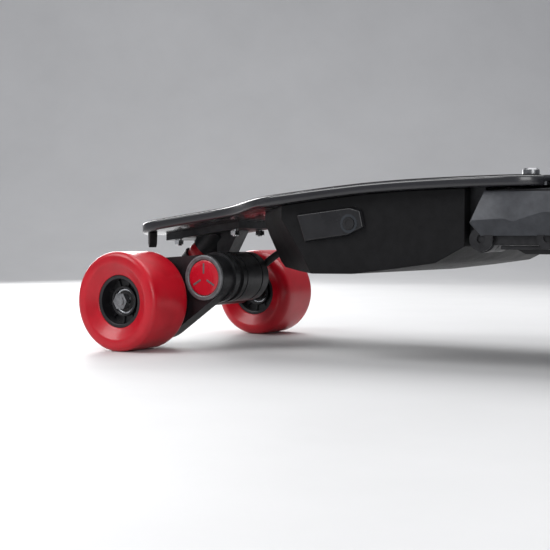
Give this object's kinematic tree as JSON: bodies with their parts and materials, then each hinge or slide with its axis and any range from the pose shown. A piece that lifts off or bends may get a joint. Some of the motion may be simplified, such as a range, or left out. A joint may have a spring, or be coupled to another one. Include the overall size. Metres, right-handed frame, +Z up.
{
  "type": "electric skateboard",
  "caption": "Folding electric longboard with a belt-driven truck, battery belly, centre folding link and red wheels.",
  "frame": {"origin": "on the ground under the middle of the unfolded board", "axes": "+X along the board to the front, +Y to the rider's left, +Z up"},
  "size_m": [0.957, 0.262, 0.1447],
  "materials": {
    "black_metal": "satin",
    "grey_metal": "matte",
    "deck": "satin",
    "grip": "gritty",
    "steel": "satin",
    "alloy": "satin",
    "arm_alloy": "matte",
    "belly": "textured",
    "cover": "satin",
    "panel": "satin",
    "light": "translucent",
    "battery_wrap": "matte",
    "cells": "satin",
    "board": "satin",
    "controller": "matte",
    "red_urethane": "gloss",
    "black_rubber": "matte",
    "core": "satin",
    "copper": "satin",
    "badge_grey": "satin",
    "badge_red": "gloss"
  },
  "bodies": {
    "link": {"link_side_plates": "black_metal", "link_top_plate": "black_metal", "link_bottom_cover": "cover", "link_side_covers": "grey_metal", "centre_deck": "deck", "centre_grip": "grip", "hinge_pins": "steel"},
    "rear_half": {"rear_deck": "deck", "rear_grip": "grip", "rear_hinge_arms": "arm_alloy", "belly_shell": "belly", "belly_side_panels": "panel", "status_light": "light", "battery_case": "battery_wrap", "battery_cells": "cells", "bms_board": "board", "motor_controller": "controller", "charge_socket": "cover", "rear_baseplate": "alloy", "rear_bolts": "steel", "rear_bushings": "red_urethane", "rear_nose_feet": "black_rubber"},
    "power_button_body": {"power_button": "cover"},
    "charge_cap_body": {"charge_cap": "black_rubber"},
    "rear_lock_body": {"rear_lock": "steel"},
    "rear_truck": {"rear_hanger": "alloy", "rear_axle": "steel", "rear_bearings": "steel", "motor_mount": "alloy", "motor_housing": "black_metal", "motor_stator": "copper", "drive_belt": "black_rubber", "belt_cover": "cover", "badge_ring": "badge_grey", "badge_disc": "badge_red", "motor_cable": "black_rubber"},
    "motor_shaft": {"motor_rotor": "steel", "motor_pulley": "alloy"},
    "rear_right_wheel": {"rear_right_tyre": "red_urethane", "rear_right_core": "core", "wheel_pulley": "alloy"},
    "rear_left_wheel": {"rear_left_tyre": "red_urethane", "rear_left_core": "core"},
    "front_half": {"front_deck": "deck", "front_grip": "grip", "front_hinge_arms": "arm_alloy", "front_keel": "belly", "front_baseplate": "alloy", "front_bolts": "steel", "front_bushings": "red_urethane", "front_nose_feet": "black_rubber"},
    "front_lock_body": {"front_lock": "steel"},
    "front_truck": {"front_hanger": "alloy", "front_axle": "steel", "front_bearings": "steel"},
    "front_right_wheel": {"front_right_tyre": "red_urethane", "front_right_core": "core"},
    "front_left_wheel": {"front_left_tyre": "red_urethane", "front_left_core": "core"}
  },
  "joints": [
    {"name": "rear_fold", "type": "hinge", "parent": "link", "child": "rear_half", "pos_m": [-0.118, 0, 0.095], "axis": [0, -1, 0], "range_deg": [0, 90]},
    {"name": "front_fold", "type": "hinge", "parent": "link", "child": "front_half", "pos_m": [0.118, 0, 0.095], "axis": [0, 1, 0], "range_deg": [0, 90]},
    {"name": "rear_steer", "type": "hinge", "parent": "rear_half", "child": "rear_truck", "pos_m": [-0.436, 0, 0.064], "axis": [-0.7071, 0, 0.7071], "range_deg": [-14, 14], "stiffness_Nm_per_rad": 45, "deforming": ["rear_bushings", "motor_cable"]},
    {"name": "front_steer", "type": "hinge", "parent": "front_half", "child": "front_truck", "pos_m": [0.436, 0, 0.064], "axis": [0.7071, 0, 0.7071], "range_deg": [-14, 14], "stiffness_Nm_per_rad": 45, "deforming": ["front_bushings"]},
    {"name": "rear_right_spin", "type": "hinge", "parent": "rear_truck", "child": "rear_right_wheel", "pos_m": [-0.436, -0.105, 0.0425], "axis": [0, 1, 0], "continuous": true},
    {"name": "rear_left_spin", "type": "hinge", "parent": "rear_truck", "child": "rear_left_wheel", "pos_m": [-0.436, 0.105, 0.0425], "axis": [0, 1, 0], "continuous": true},
    {"name": "front_right_spin", "type": "hinge", "parent": "front_truck", "child": "front_right_wheel", "pos_m": [0.436, -0.105, 0.0425], "axis": [0, 1, 0], "continuous": true},
    {"name": "front_left_spin", "type": "hinge", "parent": "front_truck", "child": "front_left_wheel", "pos_m": [0.436, 0.105, 0.0425], "axis": [0, 1, 0], "continuous": true},
    {"name": "motor_spin", "type": "hinge", "parent": "rear_truck", "child": "motor_shaft", "pos_m": [-0.38, -0.04, 0.0623], "axis": [0, 1, 0], "continuous": true},
    {"name": "power_button_press", "type": "slide", "parent": "rear_half", "child": "power_button_body", "axis": [0, 1, 0], "range_m": [0, 0.0012], "stiffness_N_per_m": 900},
    {"name": "charge_cap_hinge", "type": "hinge", "parent": "rear_half", "child": "charge_cap_body", "pos_m": [-0.224, 0.11015, 0.1183], "axis": [1, 0, 0], "range_deg": [0, 110]},
    {"name": "rear_lock_slide", "type": "slide", "parent": "rear_half", "child": "rear_lock_body", "axis": [1, 0, 0], "range_m": [0, 0.008]},
    {"name": "front_lock_slide", "type": "slide", "parent": "front_half", "child": "front_lock_body", "axis": [-1, 0, 0], "range_m": [0, 0.008]}
  ],
  "couplings": [
    {"joint": "motor_spin", "follows": "rear_right_spin", "ratio": 2.5}
  ]
}
